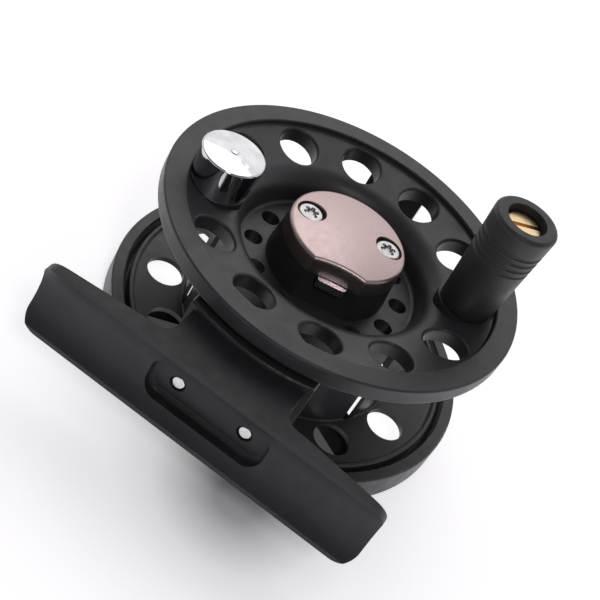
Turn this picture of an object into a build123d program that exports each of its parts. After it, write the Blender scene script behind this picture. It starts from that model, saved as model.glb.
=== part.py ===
"""Fly reel. The spool axis runs along +Z and the foot lies on the -Y side.

The origin is on the rear face of the frame, under the middle of the outline.
"""

from build123d import *
import math
import os

# Driving dimensions, in millimetres and degrees
AXIS_Y = 4.3  # the spool axis stands this far from the origin
FACE_Z = 27.5  # front face of the spool's rim
PHASE = 17.6  # the handle's place around the axis at rest
ORBIT = 22.1  # handle and counterweight from the axis

RING_R = 31.4
RING_IN = 29.3
RING_TOP = 5.45
PLATE_T = 2.4
WINDOW_IN, WINDOW_OUT = 14.0, 27.0
SPOKE_W = 7.5
PILLAR_TOP = 23.5
CUP_R = 12.0
CUP_WALL_R = 13.2
CUP_FLOOR, CUP_TOP = 4.6, 6.2
LEG_ORBIT = 8.0
PAWL_ORBIT = 15.0
POST_R = 1.1
POST_TOP = 10.3

FOOT_LENGTH = 59.86
FOOT_Z0, FOOT_Z1 = 8.75, 22.2
FOOT_OUT = AXIS_Y - 40.0
FOOT_W = FOOT_Z1 - FOOT_Z0
FOOT_MID_Z = (FOOT_Z0 + FOOT_Z1) / 2
FOOT_MID = 14.0  # half-length of the foot's full-thickness middle
BLOCK_HALF = 10.1
SEAT_R = 9.6  # radius of the rod seat hollowed in the foot
POCKET_FLOOR = AXIS_Y - 36.7
POCKET_L, POCKET_W = 20.8, 7.4
RIVET_X = 6.0
POCKET_X = 0.6
RIVETS = ((-RIVET_X, -0.25), (RIVET_X, -0.25))
RIVET_R = 1.05

FLANGE_R = 31.0
RIM_IN = 27.1
WEB_T = 2.7
WELL_R = 16.0
WELL_FLOOR = 19.5
ARBOR_R = 19.1
ARBOR_IN = 18.4
REAR_R = 28.4
REAR_TOP = 5.45
REAR_FACE = 5.1
REAR_BACK = 4.2
HUB_R = 8.0
HUB_Z = 11.8
SPINDLE_R = 2.5
BUSH_R = 4.0
BOSS_TOP = 25.0
LATCH_Z = 23.45
LATCH_T = 1.4
LATCH_STROKE = 1.0
CAP_T = 3.65
DOME_R = 60.0
CAP_SCREW = (6.85, 1.4)

KNOB_TIP = 45.5
KNOB_BASE = 26.1
SEAT_TOP = 26.0
SLOT_ANGLE = 37.0

WHEEL_Z, WHEEL_T, WHEEL_R = 10.2, 1.6, 9.5
TEETH = 48
PAWL_ANGLE = 127.5

WEB_HOLES = [
    Vector(22.9 * math.cos(math.radians(a)), AXIS_Y + 22.9 * math.sin(math.radians(a)), FACE_Z - 1.7)
    for a in [PHASE + 30 * k for k in (1, 2, 3, 4, 5, 7, 8, 9, 10, 11)]
]
HANDLE_DIR = (math.cos(math.radians(PHASE)), math.sin(math.radians(PHASE)), 0)
PAWL_DIR = (math.cos(math.radians(PAWL_ANGLE)), math.sin(math.radians(PAWL_ANGLE)), 0)
PAWL_PIVOT = (
    PAWL_ORBIT * math.cos(math.radians(90 - PAWL_ANGLE)),
    PAWL_ORBIT * math.sin(math.radians(90 - PAWL_ANGLE)),
)
SPOOL_AXIS = Axis((0, AXIS_Y, 0), (0, 0, 1))
SECTION = Plane((0, AXIS_Y, 0), x_dir=(1, 0, 0), z_dir=(0, -1, 0))
FOOT_FACE = Plane((0, FOOT_OUT, FOOT_MID_Z), x_dir=(1, 0, 0), z_dir=(0, -1, 0))
POCKET = Plane((POCKET_X, POCKET_FLOOR, FOOT_MID_Z), x_dir=(1, 0, 0), z_dir=(0, -1, 0))


def plan(z):
    """Plane square to the spool axis at height z."""
    return Plane((0, AXIS_Y, z))


def turned(z):
    """The same plane, with its own x towards the handle."""
    return Plane((0, AXIS_Y, z), x_dir=HANDLE_DIR, z_dir=(0, 0, 1))


def orbit_plan(angle, z):
    """Plane at height z, centred on the handle's or the counterweight's axis."""
    x = ORBIT * math.cos(math.radians(angle))
    y = AXIS_Y + ORBIT * math.sin(math.radians(angle))
    return Plane((x, y, z))


def orbit_section(angle):
    """Upright plane through the handle's or the counterweight's own axis."""
    x = ORBIT * math.cos(math.radians(angle))
    y = AXIS_Y + ORBIT * math.sin(math.radians(angle))
    return Plane((x, y, 0), x_dir=(1, 0, 0), z_dir=(0, -1, 0))


def foot_section(x):
    """Plane across the foot at x, with its own x inwards and y along +Z."""
    return Plane((x, FOOT_OUT, FOOT_MID_Z), x_dir=(0, 1, 0), z_dir=(1, 0, 0))


def cone_top(r):
    """Height of the front web's dished face at radius r."""
    return FACE_Z - 1.7 + 0.2 * (r - 22.9)


# Frame: ring, windowed back plate, drag cup, foot wall, far pillar, pawl post
with BuildPart() as frame:
    with BuildSketch(SECTION):
        with BuildLine():
            FilletPolyline(
                (CUP_R, 0), (RING_R, 0), (RING_R, RING_TOP), (RING_IN, RING_TOP),
                (RING_IN, PLATE_T), (CUP_WALL_R, PLATE_T), (CUP_WALL_R, CUP_TOP),
                (SPINDLE_R, CUP_TOP), (SPINDLE_R, CUP_FLOOR), (CUP_R, CUP_FLOOR),
                radius=[0.4, 0.9, 0.35, 0.3, 0.8, 0, 0.4, 0, 0, 0],
                close=True,
            )
        make_face()
    revolve(axis=SPOOL_AXIS)
    with BuildSketch(plan(0)):
        Circle(WINDOW_OUT)
        Circle(WINDOW_IN, mode=Mode.SUBTRACT)
        with PolarLocations((WINDOW_IN + WINDOW_OUT) / 2, 3, start_angle=90):
            Rectangle(20, SPOKE_W, mode=Mode.SUBTRACT)
        fillet(vertices(), 1.6)
    extrude(amount=PLATE_T, mode=Mode.SUBTRACT)
    for centre, half, side in ((0, 11.0, -1), (-0.4, 5.2, 1)):
        with BuildSketch(plan(RING_TOP - 1)):
            Circle(RING_R)
            Circle(RING_IN, mode=Mode.SUBTRACT)
            with Locations((centre, side * RING_R)):
                Rectangle(2 * half, RING_R, mode=Mode.INTERSECT)
        extrude(amount=PILLAR_TOP - RING_TOP + 1)
    fillet(frame.edges().group_by(Axis.Z)[-1], 0.45)
    with BuildSketch(plan(PLATE_T - 0.5)):
        with Locations((0, PAWL_ORBIT)):
            Circle(POST_R)
    extrude(amount=POST_TOP - PLATE_T + 0.5)
    with BuildSketch(plan(POST_TOP)):
        with Locations((0, PAWL_ORBIT)):
            Circle(0.7)
    extrude(amount=-4.0, mode=Mode.SUBTRACT)
    with BuildSketch(plan(CUP_FLOOR)):
        with PolarLocations(LEG_ORBIT, 3):
            Circle(1.1)
    extrude(amount=CUP_TOP - CUP_FLOOR, mode=Mode.SUBTRACT)
    with BuildSketch(POCKET):
        with Locations(*RIVETS):
            Circle(RIVET_R)
    extrude(amount=-12, mode=Mode.SUBTRACT)

# Reel foot: hollowed bar with a pocket, and the block behind it that meets the wall
with BuildPart() as reel_foot:
    for side in (-1, 1):
        for x, edge in ((side * FOOT_LENGTH / 2, 1.0), (side * FOOT_MID, 3.0)):
            with BuildSketch(foot_section(x)):
                with BuildLine():
                    Polyline((edge, -FOOT_W / 2), (0, -FOOT_W / 2), (0, FOOT_W / 2), (edge, FOOT_W / 2))
                    ThreePointArc((edge, FOOT_W / 2), (edge + 2.2, 0), (edge, -FOOT_W / 2))
                make_face()
        loft(ruled=True)
    with BuildSketch(foot_section(-FOOT_MID)):
        with BuildLine():
            Polyline((3.0, -FOOT_W / 2), (0, -FOOT_W / 2), (0, FOOT_W / 2), (3.0, FOOT_W / 2))
            ThreePointArc((3.0, FOOT_W / 2), (5.2, 0), (3.0, -FOOT_W / 2))
        make_face()
    extrude(amount=2 * FOOT_MID)
    with BuildSketch(Plane((0, FOOT_OUT, FOOT_Z0))):
        with BuildLine():
            FilletPolyline(
                (-FOOT_MID, 1.5), (FOOT_MID, 1.5), (FOOT_MID, 3.0), (BLOCK_HALF, 3.0),
                (BLOCK_HALF, 12.0), (-BLOCK_HALF, 12.0), (-BLOCK_HALF, 3.0), (-FOOT_MID, 3.0),
                radius=[0, 0, 0, 2.8, 0, 0, 2.8, 0],
                close=True,
            )
        make_face()
    extrude(amount=FOOT_W)
    with BuildSketch(plan(0)):
        Circle(RING_R)
    extrude(amount=40, mode=Mode.SUBTRACT)
    with BuildSketch(FOOT_FACE):
        RectangleRounded(FOOT_LENGTH, FOOT_W, 3.2)
    extrude(amount=-20, mode=Mode.INTERSECT)
    with BuildSketch(foot_section(-40)):
        with Locations((-7.59, 0)):
            Circle(SEAT_R)
    extrude(amount=80, mode=Mode.SUBTRACT)
    with BuildSketch(POCKET):
        RectangleRounded(POCKET_L, POCKET_W, 2.6)
    extrude(amount=5, mode=Mode.SUBTRACT)
    fillet(reel_foot.edges().filter_by_position(Axis.Y, POCKET_FLOOR - 0.01, POCKET_FLOOR + 0.01), 0.9)
    for radius, depth in ((RIVET_R, 12), (RIVET_R + 0.28, 0.7)):
        with BuildSketch(POCKET):
            with Locations(*RIVETS):
                Circle(radius)
        extrude(amount=-depth, mode=Mode.SUBTRACT)

with BuildPart() as foot_rivets:
    with BuildSketch(POCKET.offset(-0.15)):
        with Locations(*RIVETS):
            Circle(RIVET_R)
    extrude(amount=-7.85)
    fillet(foot_rivets.edges().group_by(Axis.Y)[0], 0.2)

# Spindle and what holds it in the drag cup
with BuildPart() as spindle:
    with BuildSketch(SECTION):
        with BuildLine():
            Polyline(
                (1.0, 1.15), (2.0, 1.15), (2.0, CUP_FLOOR), (SPINDLE_R, CUP_FLOOR),
                (SPINDLE_R, CUP_TOP), (4.5, CUP_TOP), (4.5, 7.0), (SPINDLE_R, 7.0),
                (SPINDLE_R, 23.2), (1.8, 23.2), (1.8, BOSS_TOP), (SPINDLE_R, BOSS_TOP),
                (SPINDLE_R, 25.7), (2.0, 26.2), (0, 26.2), (0, 4.4), (1.0, 4.4), (1.0, 1.15),
            )
        make_face()
    revolve(axis=SPOOL_AXIS)

with BuildPart() as spindle_nut:
    with BuildSketch(plan(3.4)):
        RegularPolygon(4.0, 6, major_radius=False)
        Circle(2.0, mode=Mode.SUBTRACT)
    extrude(amount=CUP_FLOOR - 3.4)

# Drag dial in the back, its screw, and the thrust parts in front of it
with BuildPart() as drag_knob:
    with BuildSketch(SECTION):
        with BuildLine():
            FilletPolyline(
                (3.7, 0.3), (11.2, 0.3), (11.2, 2.4), (6.0, 2.4), (6.0, 4.3), (5.0, 4.3),
                (5.0, 2.4), (2.05, 2.4), (2.05, 1.2), (3.7, 1.2),
                radius=[0, 0.4, 0.3, 0, 0, 0, 0, 0, 0, 0],
                close=True,
            )
        make_face()
    revolve(axis=SPOOL_AXIS)
    with BuildSketch(plan(0.3)):
        Circle(9.9)
        Circle(4.6, mode=Mode.SUBTRACT)
        Rectangle(24, 4.4, mode=Mode.SUBTRACT)
        fillet(vertices(), 0.8)
    extrude(amount=1.3, mode=Mode.SUBTRACT)
    with BuildSketch(plan(0)):
        with PolarLocations(11.6, 24):
            Circle(0.75)
    extrude(amount=3, mode=Mode.SUBTRACT)

with BuildPart() as knob_screw:
    with BuildSketch(SECTION):
        with BuildLine():
            Polyline((0, 0.25), (3.2, 0.25), (3.5, 0.55), (3.5, 1.15), (1.0, 1.15), (1.0, 4.2), (0, 4.2), (0, 0.25))
        make_face()
    revolve(axis=SPOOL_AXIS)
    with BuildSketch(plan(0.25)):
        Rectangle(7.4, 0.8)
    extrude(amount=0.5, mode=Mode.SUBTRACT)

with BuildPart() as thrust_ring:
    with BuildSketch(plan(2.6)):
        Circle(9.5)
        Circle(6.06, mode=Mode.SUBTRACT)
    extrude(amount=1.4)
    with BuildSketch(plan(3.5)):
        with PolarLocations(LEG_ORBIT, 3):
            Circle(1.0)
    extrude(amount=3.7)

with BuildPart() as thrust_plate:
    with BuildSketch(plan(7.2)):
        Circle(11.0)
        Circle(5.6, mode=Mode.SUBTRACT)
    extrude(amount=0.8)

with BuildPart() as drag_washer:
    with BuildSketch(plan(8.0)):
        Circle(11.0)
        Circle(7.8, mode=Mode.SUBTRACT)
    extrude(amount=0.8)

with BuildPart() as drag_disc:
    with BuildSketch(plan(9.25)):
        Circle(11.5)
        Circle(BUSH_R, mode=Mode.SUBTRACT)
    extrude(amount=WHEEL_Z - 9.25)
    with BuildSketch(plan(9.25)):
        with PolarLocations(6.0, 3):
            Circle(0.8)
    extrude(amount=2, mode=Mode.SUBTRACT)
    with BuildSketch(plan(9.25)):
        with PolarLocations(6.0, 3):
            Circle(1.55)
    extrude(amount=0.55, mode=Mode.SUBTRACT)

# Clicker: toothed wheel on the spool, sprung pawl on the frame
with BuildPart() as ratchet_wheel:
    with BuildSketch(plan(WHEEL_Z)):
        Circle(WHEEL_R)
        Circle(BUSH_R, mode=Mode.SUBTRACT)
        with PolarLocations(6.0, 3):
            Circle(0.8, mode=Mode.SUBTRACT)
        with PolarLocations(0, TEETH):
            Polygon((8.85, 0), (9.6, -0.48), (9.6, 0.48), align=None, mode=Mode.SUBTRACT)
    extrude(amount=WHEEL_T)

with BuildPart() as ratchet_screws:
    with BuildSketch(plan(9.35)):
        with PolarLocations(6.0, 3):
            Circle(1.45)
    extrude(amount=0.45)
    with BuildSketch(plan(9.35)):
        with PolarLocations(6.0, 3):
            Circle(0.8)
    extrude(amount=6.0)

with BuildPart() as click_pawl:
    with BuildSketch(Plane((0, AXIS_Y, WHEEL_Z + 0.2), x_dir=PAWL_DIR, z_dir=(0, 0, 1))):
        with Locations((10.7, 0)):
            Circle(0.9)
        with Locations(PAWL_PIVOT):
            Circle(1.7)
        make_hull()
        with BuildLine():
            Polyline((9.0, 0), (9.8, 0.5), (10.8, 0.5), (10.8, -0.5), (9.8, -0.5), (9.0, 0))
        make_face()
        with Locations(PAWL_PIVOT):
            Circle(0.75, mode=Mode.SUBTRACT)
    extrude(amount=1.2)

with BuildPart() as pawl_pin:
    with BuildSketch(plan(POST_TOP - 4.0)):
        with Locations((0, PAWL_ORBIT)):
            Circle(0.7)
    extrude(amount=5.4)
    with BuildSketch(plan(11.7)):
        with Locations((0, PAWL_ORBIT)):
            Circle(1.4)
    extrude(amount=0.5)

with BuildPart() as pawl_spring:
    with BuildLine() as pawl_coil:
        Helix(0.6, 2.4, 1.4, center=(0, AXIS_Y + PAWL_ORBIT, 6.9))
    with BuildSketch(Plane(pawl_coil.line @ 0, z_dir=pawl_coil.line % 0)):
        Circle(0.2)
    sweep(is_frenet=True)

# Spool: flanges, arbor, dished front web, well, boss and hub in one
with BuildPart() as spool:
    with BuildSketch(SECTION):
        with BuildLine():
            FilletPolyline(
                (BUSH_R, HUB_Z), (HUB_R, HUB_Z), (HUB_R, WELL_FLOOR - 2.2), (ARBOR_IN, WELL_FLOOR - 2.2),
                (ARBOR_IN, REAR_BACK), (REAR_R, REAR_BACK), (REAR_R, REAR_TOP), (REAR_R - 0.6, REAR_TOP),
                (REAR_R - 1.0, REAR_FACE), (ARBOR_R, REAR_FACE), (ARBOR_R, cone_top(ARBOR_R) - WEB_T),
                (RIM_IN - 0.2, cone_top(RIM_IN - 0.2) - WEB_T), (FLANGE_R, FACE_Z - 3.0), (FLANGE_R, FACE_Z),
                (RIM_IN, FACE_Z), (RIM_IN, cone_top(RIM_IN)), (WELL_R, cone_top(WELL_R)),
                (WELL_R, WELL_FLOOR), (BUSH_R, WELL_FLOOR),
                radius=[0, 0.4, 1.0, 1.0, 0.3, 0.3, 0.3, 0.15, 0.3, 0.3, 0, 0, 0.6, 0.35, 0.3, 0.15, 4.0, 0.6, 0],
                close=True,
            )
        make_face()
    revolve(axis=SPOOL_AXIS)
    with BuildSketch(turned(WELL_FLOOR)):
        with BuildLine():
            boss_side = CenterArc((0, 0.3), 10.7, -65, 310)
            ThreePointArc(boss_side @ 1, (0, -8.95), boss_side @ 0)
        make_face()
        fillet(vertices(), 1.2)
    extrude(amount=BOSS_TOP - WELL_FLOOR, taper=5)
    for angle in (PHASE, PHASE + 180):
        with BuildSketch(orbit_plan(angle, 22.4)):
            Circle(4.92)
        extrude(amount=SEAT_TOP - 22.4)
        with BuildSketch(orbit_plan(angle, SEAT_TOP)):
            Circle(4.92)
        extrude(amount=3, mode=Mode.SUBTRACT)
    for radius, top in ((BUSH_R, 22.0), (2.75, BOSS_TOP)):
        with BuildSketch(plan(HUB_Z)):
            Circle(radius)
        extrude(amount=top - HUB_Z, mode=Mode.SUBTRACT)
    with BuildSketch(plan(HUB_Z)):
        with PolarLocations(6.0, 3):
            Circle(0.8)
    extrude(amount=4.2, mode=Mode.SUBTRACT)
    with BuildSketch(turned(LATCH_Z - 0.1)):
        with Locations((0, 0.975)):
            Rectangle(9.5, 14.45)
        with Locations((0, -9.2)):
            Rectangle(5.3, 6.2)
    extrude(amount=BOSS_TOP - LATCH_Z + 0.1, mode=Mode.SUBTRACT)
    with BuildSketch(turned(BOSS_TOP)):
        with Locations(CAP_SCREW, (-CAP_SCREW[0], CAP_SCREW[1])):
            Circle(0.9)
    extrude(amount=-4, mode=Mode.SUBTRACT)
    for start in (30, 210):
        with BuildSketch(turned(21.8)):
            with PolarLocations(22.9, 5, start_angle=start, angular_range=150):
                Circle(3.55)
        extrude(amount=FACE_Z - 21.8, mode=Mode.SUBTRACT)
    with BuildSketch(turned(WELL_FLOOR)):
        with PolarLocations(13.05, 12):
            Circle(1.62)
    extrude(amount=-2.2, mode=Mode.SUBTRACT)
    with BuildSketch(turned(0)):
        with PolarLocations(22.8, 12):
            Circle(3.2)
    extrude(amount=8, mode=Mode.SUBTRACT)
    with BuildSketch(turned(0)):
        with PolarLocations(18.0, 6, start_angle=14):
            Rectangle(2.5, 2.2)
    extrude(amount=21.0, mode=Mode.SUBTRACT)
    for angle, radius in ((PHASE, 1.75), (PHASE + 180, 1.2)):
        with BuildSketch(orbit_plan(angle, 20)):
            Circle(radius)
        extrude(amount=8, mode=Mode.SUBTRACT)
    lips = [
        edge
        for edge in spool.edges().filter_by(GeomType.LINE, reverse=True)
        if edge.center().Z > 24.0 and any((edge.center() - hole).length < 4.2 for hole in WEB_HOLES)
    ]
    fillet(lips, 0.4)

with BuildPart() as spool_bushing:
    with BuildSketch(plan(7.1)):
        Circle(BUSH_R)
        Circle(SPINDLE_R + 0.03, mode=Mode.SUBTRACT)
    extrude(amount=22.0 - 7.1)

# Cap, its screws, and the latch plate that holds the spool on the spindle
with BuildPart() as hub_cap:
    with BuildSketch(turned(BOSS_TOP)):
        with BuildLine():
            cap_side = CenterArc((0, 0.3), 10.3, -65, 310)
            ThreePointArc(cap_side @ 1, (0, -8.55), cap_side @ 0)
        make_face()
        fillet(vertices(), 1.0)
    extrude(amount=CAP_T + 0.5, taper=4)
    with BuildSketch(SECTION):
        with BuildLine():
            dome = CenterArc((0, BOSS_TOP + CAP_T - DOME_R), DOME_R, 78, 12)
            Polyline(dome @ 0, ((dome @ 0).X, 24), (0, 24), dome @ 1)
        make_face()
    revolve(axis=SPOOL_AXIS, mode=Mode.INTERSECT)
    fillet(hub_cap.faces().sort_by(Axis.Z)[-1].edges(), 0.6)
    with BuildSketch(plan(BOSS_TOP)):
        Circle(3.4)
    extrude(amount=1.7, mode=Mode.SUBTRACT)
    for radius, low in ((1.0, BOSS_TOP), (2.45, 26.7)):
        with BuildSketch(turned(low)):
            with Locations(CAP_SCREW, (-CAP_SCREW[0], CAP_SCREW[1])):
                Circle(radius)
        extrude(amount=5, mode=Mode.SUBTRACT)

with BuildPart() as cap_screws:
    for radius, low, high in ((0.9, 21.2, 26.7), (2.1, 26.7, 27.9)):
        with BuildSketch(turned(low)):
            with Locations(CAP_SCREW, (-CAP_SCREW[0], CAP_SCREW[1])):
                Circle(radius)
        extrude(amount=high - low)
    fillet(cap_screws.edges().group_by(Axis.Z)[-1], 0.3)
    with BuildSketch(turned(27.9)):
        with Locations(CAP_SCREW, (-CAP_SCREW[0], CAP_SCREW[1])):
            with PolarLocations(0, 3, start_angle=20, angular_range=180):
                SlotOverall(2.7, 0.75)
    extrude(amount=-0.45, mode=Mode.SUBTRACT)

with BuildPart() as release_latch:
    with BuildSketch(turned(LATCH_Z)):
        with Locations((0, -1.0)):
            Rectangle(9.2, 10.4)
        with Locations((0, -7.45)):
            RectangleRounded(4.9, 4.5, 0.7)
        Circle(1.95, mode=Mode.SUBTRACT)
        with Locations((0, -LATCH_STROKE)):
            Circle(2.75, mode=Mode.SUBTRACT)
    extrude(amount=LATCH_T)

with BuildPart() as latch_spring:
    with BuildLine() as latch_coil:
        start = turned(LATCH_Z + LATCH_T / 2).from_local_coords(Vector(0, 6.0, 0))
        Helix(0.42, 1.9, 0.45, center=start, direction=turned(0).y_dir)
    with BuildSketch(Plane(latch_coil.line @ 0, z_dir=latch_coil.line % 0)):
        Circle(0.13)
    sweep(is_frenet=True)

# Handle: knob with its bush, on a slotted screw with a washer
with BuildPart() as handle_knob:
    with BuildSketch(orbit_section(PHASE)):
        with BuildLine():
            FilletPolyline(
                (2.6, KNOB_BASE), (4.5, KNOB_BASE), (5.55, KNOB_TIP), (3.4, KNOB_TIP), (3.4, 42.1), (2.6, 42.1),
                radius=[0, 0.25, 0.7, 0.2, 0, 0],
                close=True,
            )
        make_face()
        with Locations((5.46, 41.6), (5.39, 40.3), (5.32, 39.0), (5.25, 37.7)):
            Circle(0.38, mode=Mode.SUBTRACT)
    revolve(axis=Axis(orbit_plan(PHASE, 0).origin, (0, 0, 1)))

with BuildPart() as handle_bush:
    with BuildSketch(orbit_plan(PHASE, KNOB_BASE)):
        Circle(2.6)
        Circle(1.8, mode=Mode.SUBTRACT)
    extrude(amount=42.1 - KNOB_BASE)

with BuildPart() as handle_washer:
    with BuildSketch(orbit_plan(PHASE, 42.2)):
        Circle(3.0)
        Circle(1.75, mode=Mode.SUBTRACT)
    extrude(amount=0.3)

with BuildPart() as handle_screw:
    with BuildSketch(orbit_section(PHASE)):
        with BuildLine():
            FilletPolyline(
                (0, 22.6), (1.75, 22.6), (1.75, 42.5), (3.1, 42.5), (3.1, 44.2), (0, 44.2),
                radius=[0, 0.2, 0, 0, 0.3, 0],
                close=True,
            )
        make_face()
    revolve(axis=Axis(orbit_plan(PHASE, 0).origin, (0, 0, 1)))
    with BuildSketch(orbit_plan(PHASE, 44.2)):
        Rectangle(8, 0.85, rotation=SLOT_ANGLE)
    extrude(amount=-0.9, mode=Mode.SUBTRACT)

# Counterweight opposite the handle
with BuildPart() as counterweight:
    with BuildSketch(orbit_section(PHASE + 180)):
        with BuildLine():
            Polyline((0, 30.4), (0, 32.95), (0.5, 32.9), (0.7, 32.8))
            ThreePointArc((0.7, 32.8), (3.0, 32.72), (5.05, 32.55))
            ThreePointArc((5.05, 32.55), (5.23, 32.47), (5.3, 32.3))
            Polyline((5.3, 32.3), (4.8, SEAT_TOP), (1.2, SEAT_TOP), (1.2, 30.4), (0, 30.4))
        make_face()
    revolve(axis=Axis(orbit_plan(PHASE + 180, 0).origin, (0, 0, 1)))

with BuildPart() as counterweight_screw:
    with BuildSketch(orbit_section(PHASE + 180)):
        with BuildLine():
            FilletPolyline(
                (0, 21.3), (2.3, 21.3), (2.3, 22.4), (1.2, 22.4), (1.2, 30.2), (0, 30.2),
                radius=[0, 0.4, 0, 0, 0.2, 0],
                close=True,
            )
        make_face()
    revolve(axis=Axis(orbit_plan(PHASE + 180, 0).origin, (0, 0, 1)))
    with BuildSketch(orbit_plan(PHASE + 180, 21.3)):
        Rectangle(3.0, 0.6)
        Rectangle(0.6, 3.0)
    extrude(amount=0.6, mode=Mode.SUBTRACT)

os.makedirs("parts", exist_ok=True)
pieces = {
    "frame": frame,
    "reel_foot": reel_foot,
    "foot_rivets": foot_rivets,
    "spindle": spindle,
    "spindle_nut": spindle_nut,
    "drag_knob": drag_knob,
    "knob_screw": knob_screw,
    "thrust_ring": thrust_ring,
    "thrust_plate": thrust_plate,
    "drag_washer": drag_washer,
    "drag_disc": drag_disc,
    "ratchet_wheel": ratchet_wheel,
    "ratchet_screws": ratchet_screws,
    "click_pawl": click_pawl,
    "pawl_pin": pawl_pin,
    "pawl_spring": pawl_spring,
    "spool": spool,
    "spool_bushing": spool_bushing,
    "hub_cap": hub_cap,
    "cap_screws": cap_screws,
    "release_latch": release_latch,
    "latch_spring": latch_spring,
    "handle_knob": handle_knob,
    "handle_bush": handle_bush,
    "handle_washer": handle_washer,
    "handle_screw": handle_screw,
    "counterweight": counterweight,
    "counterweight_screw": counterweight_screw,
}
for name, piece in pieces.items():
    piece.part.label = name
    export_step(piece.part, f"parts/{name}.step")
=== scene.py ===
"""Fly reel on a pale studio floor."""
import bpy
import math
from mathutils import Matrix, Vector


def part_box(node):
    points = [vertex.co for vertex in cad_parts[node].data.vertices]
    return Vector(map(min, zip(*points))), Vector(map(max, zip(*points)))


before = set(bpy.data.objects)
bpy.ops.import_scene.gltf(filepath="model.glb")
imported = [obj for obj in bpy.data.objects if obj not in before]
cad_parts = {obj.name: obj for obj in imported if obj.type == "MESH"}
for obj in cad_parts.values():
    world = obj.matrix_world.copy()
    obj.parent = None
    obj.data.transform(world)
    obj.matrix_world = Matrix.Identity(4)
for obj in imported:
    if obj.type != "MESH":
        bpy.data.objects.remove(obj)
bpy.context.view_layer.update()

# Sizes in metres, and the place the camera and the lights are set out from
FACE_Z = 0.0275  # front face of the spool's rim
FLOOR_Z = -0.0002  # just under the reel
FLOOR_HALF = 3.0
FLOOR_CORNERS = [
    (x * FLOOR_HALF, y * FLOOR_HALF, FLOOR_Z) for x, y in ((-1, -1), (1, -1), (1, 1), (-1, 1))
]
RING_INSIDE, RING_EDGE = 0.027, 0.031  # painted light: the floor glows bright inside the frame's ring
SHADE_SPAN = 0.06  # the painted shadow under the foot fades out over this distance
SHADE_STOPS = (  # share of that distance, and the floor's glow there, dimmed as painted shadow near the foot
    (0.06, 0.02), (0.12, 0.16), (0.17, 0.28), (0.24, 0.44), (0.34, 0.52), (0.54, 0.57), (0.85, 0.60),
)
spool_low, spool_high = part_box("spool")
axis_x = (spool_low[0] + spool_high[0]) / 2
axis_y = (spool_low[1] + spool_high[1]) / 2
hub = Vector((axis_x, axis_y, FACE_Z))


# ---- shading ----
class Shader:
    """A Principled material with short helpers for the nodes behind it."""

    def __init__(self, name, color, rough, metal=0.0, spec=0.5):
        self.mat = bpy.data.materials.new(name)
        self.mat.use_nodes = True
        self.nodes = self.mat.node_tree.nodes
        self.links = self.mat.node_tree.links
        self.bsdf = self.nodes["Principled BSDF"]
        self.bsdf.inputs["Base Color"].default_value = (*color, 1)
        self.bsdf.inputs["Roughness"].default_value = rough
        self.bsdf.inputs["Metallic"].default_value = metal
        self.bsdf.inputs["Specular IOR Level"].default_value = spec
        self.place = self.nodes.new("ShaderNodeTexCoord").outputs["Object"]
        self.normal = None

    def node(self, kind, **settings):
        node = self.nodes.new(kind)
        for key, value in settings.items():
            setattr(node, key, value)
        return node

    def noise(self, scale, detail=3.0, source=None):
        node = self.node("ShaderNodeTexNoise")
        node.inputs["Scale"].default_value = scale
        node.inputs["Detail"].default_value = detail
        self.links.new(source or self.place, node.inputs["Vector"])
        return node.outputs["Fac"]

    def span(self, value, low, high, to_low, to_high):
        """Maps a value from one range to another."""
        node = self.node("ShaderNodeMapRange")
        for key, number in zip(("From Min", "From Max", "To Min", "To Max"), (low, high, to_low, to_high)):
            node.inputs[key].default_value = number
        self.links.new(value, node.inputs["Value"])
        return node.outputs["Result"]

    def maths(self, kind, first, second):
        node = self.node("ShaderNodeMath", operation=kind)
        for socket, value in zip(node.inputs, (first, second)):
            if isinstance(value, (int, float)):
                socket.default_value = value
            else:
                self.links.new(value, socket)
        return node.outputs[0]

    def mix(self, factor, first, second):
        node = self.node("ShaderNodeMix", data_type="RGBA")
        self.links.new(factor, node.inputs["Factor"])
        for socket, value in ((node.inputs[6], first), (node.inputs[7], second)):
            if isinstance(value, tuple):
                socket.default_value = (*value, 1)
            else:
                self.links.new(value, socket)
        return node.outputs[2]

    def bump(self, height, distance, strength=1.0):
        node = self.node("ShaderNodeBump")
        node.inputs["Distance"].default_value = distance
        node.inputs["Strength"].default_value = strength
        self.links.new(height, node.inputs["Height"])
        if self.normal:
            self.links.new(self.normal, node.inputs["Normal"])
        self.normal = node.outputs["Normal"]
        self.links.new(self.normal, self.bsdf.inputs["Normal"])

    def feed(self, socket, value):
        self.links.new(value, self.bsdf.inputs[socket])

    def specks(self, scale, size, share):
        """Sparse round dots, as dust lies on a dark surface."""
        cells = self.node("ShaderNodeTexVoronoi", feature="F1")
        cells.inputs["Scale"].default_value = scale
        self.links.new(self.place, cells.inputs["Vector"])
        pick = self.node("ShaderNodeSeparateColor")
        self.links.new(cells.outputs["Color"], pick.inputs[0])
        near = self.span(cells.outputs["Distance"], size * 0.5, size, 1.0, 0.0)
        chosen = self.maths("LESS_THAN", pick.outputs[0], share)
        return self.maths("MULTIPLY", near, chosen)


def black_finish(name, color, rough, grain, dust):
    """Satin black coat: fine grain, faint cloudiness and a little dust."""
    s = Shader(name, color, rough)
    cloud = s.noise(160, 4)
    lighter = tuple(c * 1.25 for c in color)
    tone = s.mix(s.span(cloud, 0.35, 0.65, 0.0, 1.0), color, lighter)
    if dust:
        tone = s.mix(s.specks(260, 0.035, 0.035), tone, (0.30, 0.29, 0.30))
    s.feed("Base Color", tone)
    s.feed("Roughness", s.span(s.noise(420, 3), 0.3, 0.7, rough - 0.05, rough + 0.06))
    s.bump(s.noise(5200, 2), 0.00003, grain)
    return s


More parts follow.
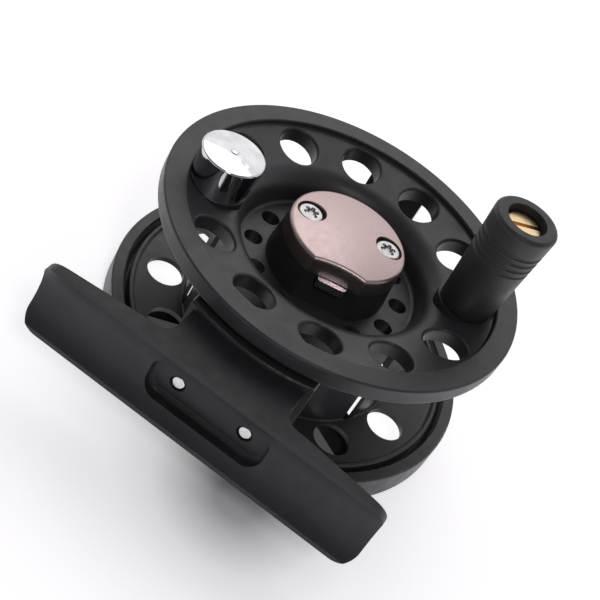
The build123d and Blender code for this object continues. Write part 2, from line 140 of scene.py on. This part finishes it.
alloy = black_finish("satin_black", (0.027, 0.026, 0.029), 0.40, 0.35, True)
foot_black = black_finish("satin_black_foot", (0.022, 0.021, 0.024), 0.44, 0.35, True)
foot_black.bsdf.inputs["Specular IOR Level"].default_value = 0.32
knob_black = black_finish("matte_black_knob", (0.024, 0.023, 0.025), 0.47, 0.45, False)

bronze = Shader("bronze_anodised", (0.53, 0.40, 0.385), 0.36, metal=1.0)
grain = bronze.noise(3400, 3)
bronze_tone = bronze.mix(bronze.span(grain, 0.3, 0.7, 0.0, 1.0), (0.50, 0.385, 0.375), (0.55, 0.43, 0.42))
bronze.feed("Base Color", bronze_tone)
bronze.feed("Roughness", bronze.span(bronze.noise(700, 3), 0.3, 0.7, 0.32, 0.40))
bronze.bump(grain, 0.00002, 0.12)

chrome = Shader("chrome", (0.80, 0.81, 0.83), 0.06, metal=1.0)
chrome.feed("Roughness", chrome.span(chrome.noise(300, 4), 0.35, 0.75, 0.03, 0.12))
chrome.bump(chrome.noise(180, 2), 0.0005, 0.22)
mottle = chrome.span(chrome.noise(240, 3), 0.4, 0.7, 0.0, 1.0)
chrome.feed("Base Color", chrome.mix(mottle, (0.62, 0.62, 0.64), (0.82, 0.83, 0.85)))

brass = Shader("turned_brass", (0.72, 0.50, 0.25), 0.28, metal=1.0)
brass.feed("Base Color", brass.mix(brass.noise(900, 4), (0.80, 0.56, 0.30), (1.0, 0.80, 0.52)))
brass.bump(brass.noise(1500, 3), 0.00004, 0.5)


def metal(name, color, rough, scale, depth):
    s = Shader(name, color, rough, metal=1.0)
    darker = tuple(c * 0.72 for c in color)
    s.feed("Base Color", s.mix(s.span(s.noise(scale, 4), 0.3, 0.7, 0.0, 1.0), darker, color))
    s.feed("Roughness", s.span(s.noise(scale * 0.5, 3), 0.3, 0.7, rough - 0.06, rough + 0.08))
    s.bump(s.noise(scale * 2, 2), depth, 0.4)
    return s


steel = metal("bright_steel", (0.66, 0.65, 0.64), 0.25, 1200, 0.00003)
dark_steel = metal("hard_steel", (0.30, 0.29, 0.29), 0.36, 900, 0.00003)
rivet = metal("rivet_face", (0.98, 0.96, 0.95), 0.34, 2600, 0.00005)
tab = metal("latch_silver", (0.95, 0.95, 0.96), 0.22, 800, 0.00002)

bushing = Shader("bushing_resin", (0.62, 0.59, 0.52), 0.45)
bushing.bump(bushing.noise(1500, 2), 0.00003, 0.3)
fibre = Shader("friction_fibre", (0.16, 0.11, 0.07), 0.8)
fibre.feed("Base Color", fibre.mix(fibre.noise(1400, 5), (0.10, 0.07, 0.045), (0.24, 0.17, 0.11)))
fibre.bump(fibre.noise(2400, 4), 0.00008, 0.6)

FINISH = {
    "frame": alloy, "spool": alloy, "reel_foot": foot_black, "foot_rivets": rivet,
    "spindle": steel, "spindle_nut": steel, "drag_knob": alloy, "knob_screw": steel,
    "thrust_ring": steel, "thrust_plate": steel, "drag_washer": fibre, "drag_disc": steel,
    "ratchet_wheel": dark_steel, "ratchet_screws": steel, "click_pawl": dark_steel,
    "pawl_pin": steel, "pawl_spring": steel, "spool_bushing": bushing, "hub_cap": bronze,
    "cap_screws": steel, "release_latch": tab, "latch_spring": steel, "handle_knob": knob_black,
    "handle_bush": brass, "handle_washer": steel, "handle_screw": brass,
    "counterweight": chrome, "counterweight_screw": steel,
}
for name, finish in FINISH.items():
    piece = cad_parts[name]
    for slot in piece.material_slots:
        slot.material = finish.mat
    piece.data.materials.clear()
    piece.data.materials.append(finish.mat)

# ---- camera ----
forward = Vector((-0.08583, 0.77636, -0.62441)).normalized()
right = Vector((0.80050, 0.42686, 0.42070))
right = (right - forward * right.dot(forward)).normalized()
up = right.cross(forward)
eye = hub + Vector((0.019307, -0.184278, 0.132299))
turn = Matrix((right, up, -forward)).transposed().to_4x4()
camera_data = bpy.data.cameras.new("camera")
camera_data.lens = 86.285
camera_data.sensor_width = 36.0
camera_data.clip_start = 0.01
camera = bpy.data.objects.new("camera", camera_data)
camera.matrix_world = Matrix.Translation(eye) @ turn
bpy.context.collection.objects.link(camera)
bpy.context.scene.camera = camera

# ---- floor, backdrop and light ----
bpy.context.scene.view_settings.view_transform = "Standard"


def stage_sheet(name, corners, color):
    """A flat sheet that belongs to the stage; its shading is returned."""
    mesh = bpy.data.meshes.new(name)
    mesh.from_pydata(corners, [], [tuple(range(len(corners)))])
    sheet = bpy.data.objects.new(name, mesh)
    bpy.context.collection.objects.link(sheet)
    finish = Shader(name, color, 0.9, spec=0.1)
    mesh.materials.append(finish.mat)
    return finish


glowing_floor = stage_sheet("floor", FLOOR_CORNERS, (0.92, 0.91, 0.93))
# The floor glows as painted light; its strength, with a painted shadow by the foot, is set below
glowing_floor.bsdf.inputs["Emission Color"].default_value = (1.0, 0.985, 1.0, 1)


def reach(x, y):
    """Distance over the floor from a point."""
    node = glowing_floor.node("ShaderNodeVectorMath", operation="DISTANCE")
    node.inputs[1].default_value = (x, y, FLOOR_Z)
    glowing_floor.links.new(glowing_floor.place, node.inputs[0])
    return node.outputs["Value"]


# Painted shadow: the floor's glow drops away under the foot, where the reel shades the floor
foot_low, foot_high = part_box("reel_foot")
shade = glowing_floor.node("ShaderNodeValToRGB")
while len(shade.color_ramp.elements) < len(SHADE_STOPS):
    shade.color_ramp.elements.new(0.5)
for element, (position, level) in zip(shade.color_ramp.elements, SHADE_STOPS):
    element.position = position
    element.color = (level, level, level, 1)
away = reach(foot_high[0] * 0.37, foot_low[1] + 0.0070)
glowing_floor.links.new(glowing_floor.maths("DIVIDE", away, SHADE_SPAN), shade.inputs["Fac"])
# Painted light: the floor glows bright inside the frame's ring, under the reel
under = glowing_floor.span(reach(axis_x, axis_y), RING_INSIDE, RING_EDGE, 0.90, 0.0)
glowing_floor.feed("Emission Strength", glowing_floor.maths("MAXIMUM", shade.outputs["Color"], under))

world = bpy.data.worlds.new("studio")
bpy.context.scene.world = world
world.use_nodes = True
nodes, links = world.node_tree.nodes, world.node_tree.links
nodes.clear()
out = nodes.new("ShaderNodeOutputWorld")
back = nodes.new("ShaderNodeBackground")
back.inputs["Strength"].default_value = 1.0
place = nodes.new("ShaderNodeTexCoord")


def facing(direction):
    """How closely each point of the sky lies along a direction."""
    node = nodes.new("ShaderNodeVectorMath")
    node.operation = "DOT_PRODUCT"
    node.inputs[1].default_value = Vector(direction).normalized()
    links.new(place.outputs["Generated"], node.inputs[0])
    return node.outputs["Value"]


# Pale sky, dark towards the front, with a brighter patch low at the back
ramp = nodes.new("ShaderNodeValToRGB")
ramp.color_ramp.interpolation = "EASE"
ramp.color_ramp.elements[0].position = 0.35
ramp.color_ramp.elements[0].color = (0.76, 0.75, 0.77, 1)
ramp.color_ramp.elements[1].position = 0.80
ramp.color_ramp.elements[1].color = (0.14, 0.14, 0.145, 1)
half = nodes.new("ShaderNodeMath")
half.operation = "MULTIPLY_ADD"
half.inputs[1].default_value = 0.5
half.inputs[2].default_value = 0.5
links.new(facing((0.10, -0.85, 0.50)), half.inputs[0])
links.new(half.outputs[0], ramp.inputs["Fac"])
lobe = nodes.new("ShaderNodeMapRange")
lobe.interpolation_type = "SMOOTHSTEP"
for key, number in (("From Min", 0.93), ("From Max", 1.0), ("To Min", 0.0), ("To Max", 0.36)):
    lobe.inputs[key].default_value = number
links.new(facing((-0.12, 0.88, 0.46)), lobe.inputs["Value"])
bright = nodes.new("ShaderNodeMix")
bright.data_type = "RGBA"
bright.blend_type = "ADD"
bright.inputs["Factor"].default_value = 1.0
links.new(ramp.outputs["Color"], bright.inputs[6])
links.new(lobe.outputs["Result"], bright.inputs[7])
links.new(bright.outputs[2], back.inputs["Color"])
links.new(back.outputs[0], out.inputs["Surface"])

# A soft key from behind and a weak fill from the front
for name, energy, spread, towards in (
    ("key", 0.25, 30, (0.25, -0.60, -0.80)),
    ("fill", 0.40, 12, (-0.31, 0.57, -0.78)),
):
    sun = bpy.data.lights.new(name, "SUN")
    sun.energy = energy
    sun.angle = math.radians(spread)
    lamp = bpy.data.objects.new(name, sun)
    lamp.rotation_euler = Vector(towards).to_track_quat("-Z", "Y").to_euler()
    bpy.context.collection.objects.link(lamp)
